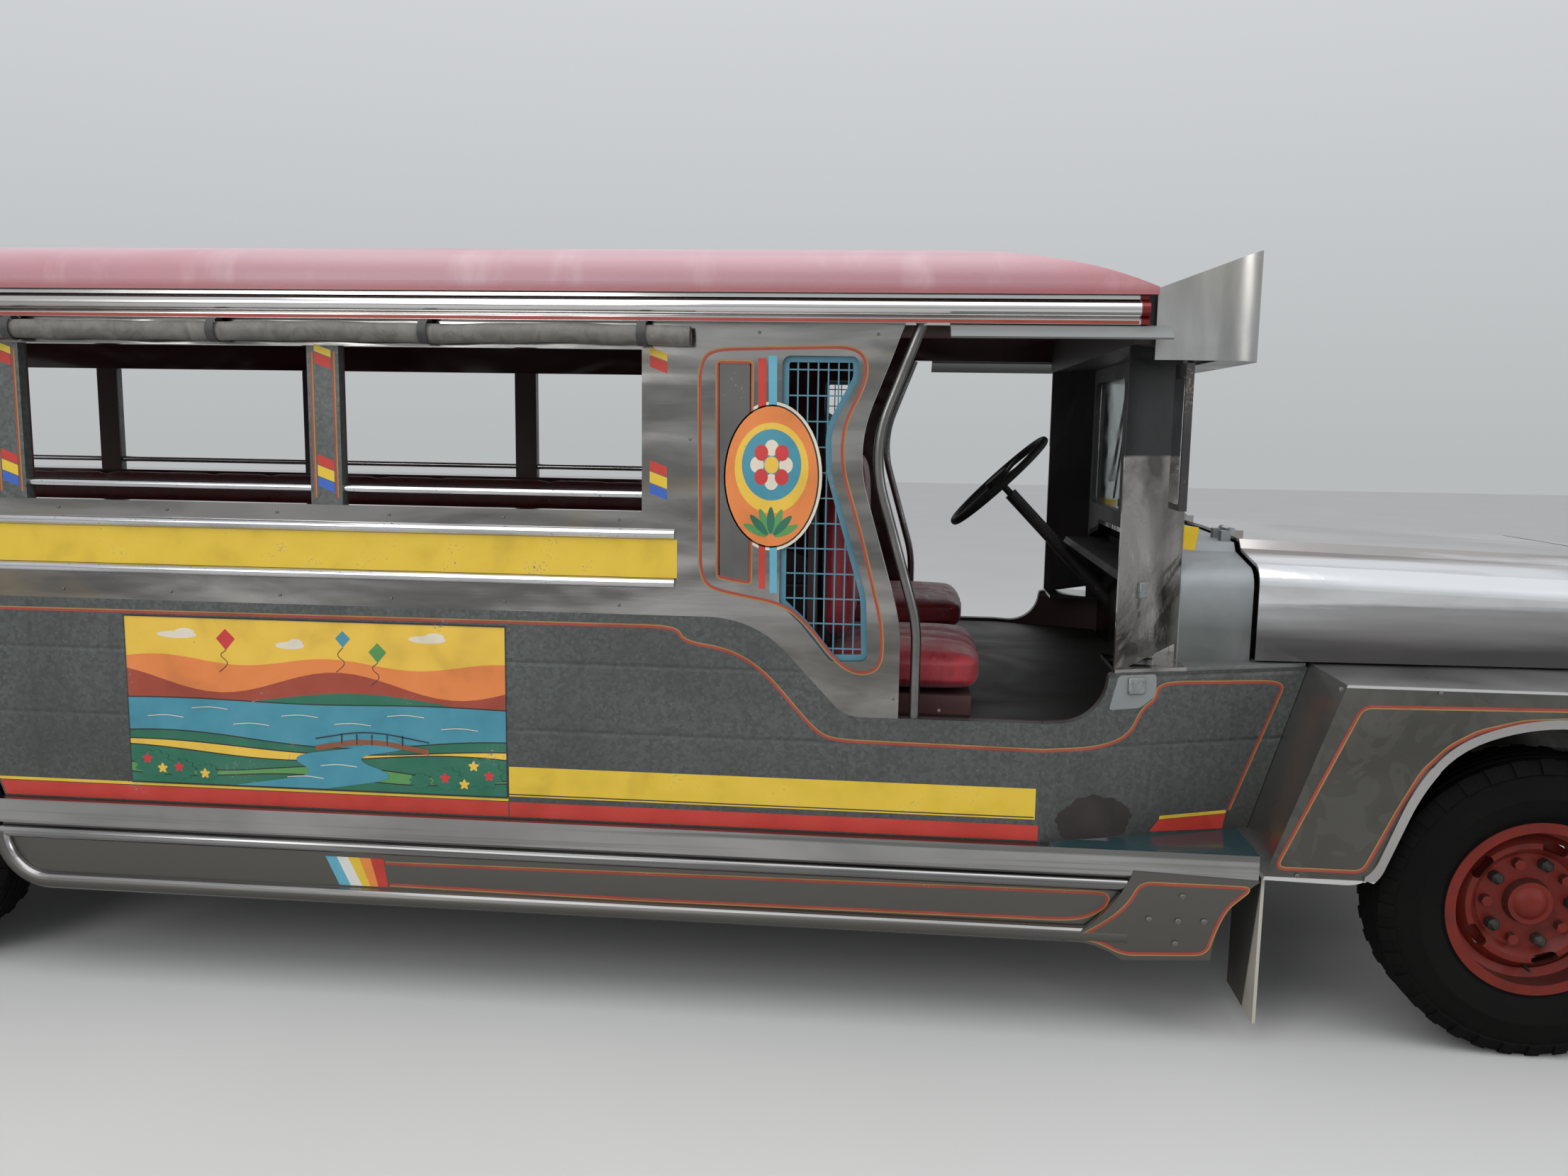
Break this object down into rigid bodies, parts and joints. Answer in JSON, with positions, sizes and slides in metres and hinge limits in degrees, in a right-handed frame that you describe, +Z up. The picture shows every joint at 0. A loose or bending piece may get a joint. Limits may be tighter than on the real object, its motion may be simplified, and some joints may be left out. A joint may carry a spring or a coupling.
{
  "type": "jeepney, long-bodied passenger type",
  "caption": "Long jeepney in polished and galvanised steel with a faded red roof, open doorways and tail, wire side panels, rolled curtains and red-orange wheels.",
  "frame": {"origin": "on the ground, at the middle of the length and width", "axes": "+X forward, +Y to the vehicle's left, +Z up"},
  "size_m": [6.55, 1.92, 2.0349],
  "materials": {
    "polished_steel": "polished stainless sheet, streaked and a little dented",
    "galvanised": "dull galvanised sheet with pinstripes",
    "chrome": "bright chrome, lightly pitted",
    "red_roof": "faded pinkish red paint",
    "grey_blue": "dull grey-blue paint",
    "black_metal": "satin black",
    "chassis_black": "dusty black",
    "cast": "oily cast iron",
    "wheel_red": "red-orange paint, dusty",
    "tyre": "worn black rubber",
    "flap": "cream rubber, dirty",
    "light_blue": "light blue paint",
    "vinyl": "red vinyl",
    "seat_board": "maroon painted board",
    "curtain": "rolled grey plastic sheet",
    "visor": "light grey sheet",
    "glass": "clear glass",
    "lamp": "clear lens",
    "red_lens": "red lens",
    "wheel_black": "black plastic rim",
    "floor_plate": "worn chequered plate"
  },
  "bodies": {
    "body": {"chassis_rails": "chassis_black", "cross_members": "chassis_black", "leaf_springs": "chassis_black", "front_axle": "cast", "rear_axle": "cast", "engine": "cast", "exhaust": "cast", "fuel_tank": "chassis_black", "floor": "floor_plate", "lower_sides": "galvanised", "upper_sides": "polished_steel", "window_headers": "polished_steel", "window_posts": "polished_steel", "wire_grilles": "light_blue", "skirts": "polished_steel", "side_rails": "chrome", "grab_tubes": "chrome", "roof_fascia": "chrome", "roof": "red_roof", "curtain_rolls": "curtain", "door_visors": "visor", "rear_panel": "polished_steel", "tail_lamps": "red_lens", "rear_step": "polished_steel", "fenders": "polished_steel", "cowl": "grey_blue", "dashboard": "black_metal", "windshield_frame": "black_metal", "windshield_glass": "glass", "signboard": "polished_steel", "mirrors": "black_metal", "mudflaps": "flap", "grille_shell": "polished_steel", "headlamps": "lamp", "front_bumper": "chrome", "seat_bases": "seat_board", "seat_cushions": "vinyl", "ceiling_rails": "chrome", "steering_column": "black_metal"},
    "hood": {"hood": "polished_steel"},
    "steering_wheel": {"steering_wheel": "wheel_black"},
    "knuckle_left": {"knuckle_left": "cast"},
    "knuckle_right": {"knuckle_right": "cast"},
    "tie_rod": {"tie_rod": "chassis_black"},
    "wheel_front_left": {"wheel_front_left": "wheel_red", "tyre_front_left": "tyre"},
    "wheel_front_right": {"wheel_front_right": "wheel_red", "tyre_front_right": "tyre"},
    "wheel_rear_left": {"wheel_rear_left": "wheel_red", "tyre_rear_left": "tyre"},
    "wheel_rear_right": {"wheel_rear_right": "wheel_red", "tyre_rear_right": "tyre"}
  },
  "joints": [
    {"name": "steer_left", "type": "hinge", "parent": "body", "child": "knuckle_left", "pos_m": [2.575, 0.665, 0.382], "axis": [0, 0, 1], "range_deg": [-32, 32]},
    {"name": "steer_right", "type": "hinge", "parent": "body", "child": "knuckle_right", "pos_m": [2.575, -0.665, 0.382], "axis": [0, 0, 1], "range_deg": [-32, 32]},
    {"name": "tie_rod_pivot", "type": "hinge", "parent": "knuckle_left", "child": "tie_rod", "pos_m": [2.425, 0.665, 0.3], "axis": [0, 0, 1], "range_deg": [-32, 32]},
    {"name": "roll_front_left", "type": "hinge", "parent": "knuckle_left", "child": "wheel_front_left", "pos_m": [2.575, 0.775, 0.382], "axis": [0, 1, 0], "continuous": true},
    {"name": "roll_front_right", "type": "hinge", "parent": "knuckle_right", "child": "wheel_front_right", "pos_m": [2.575, -0.775, 0.382], "axis": [0, 1, 0], "continuous": true},
    {"name": "roll_rear_left", "type": "hinge", "parent": "body", "child": "wheel_rear_left", "pos_m": [-1.825, 0.775, 0.382], "axis": [0, 1, 0], "continuous": true},
    {"name": "roll_rear_right", "type": "hinge", "parent": "body", "child": "wheel_rear_right", "pos_m": [-1.825, -0.775, 0.382], "axis": [0, 1, 0], "continuous": true},
    {"name": "steering_wheel_turn", "type": "hinge", "parent": "body", "child": "steering_wheel", "pos_m": [1.318, 0.42, 1.357], "axis": [-0.6947, 0, 0.7193], "range_deg": [-512, 512]},
    {"name": "hood_lift", "type": "hinge", "parent": "body", "child": "hood", "pos_m": [1.911, 0, 1.262], "axis": [0, -1, 0], "range_deg": [0, 50]}
  ],
  "couplings": [
    {"joint": "steer_right", "follows": "steer_left", "ratio": 1},
    {"joint": "tie_rod_pivot", "follows": "steer_left", "ratio": -1},
    {"joint": "steering_wheel_turn", "follows": "steer_left", "ratio": 16}
  ]
}
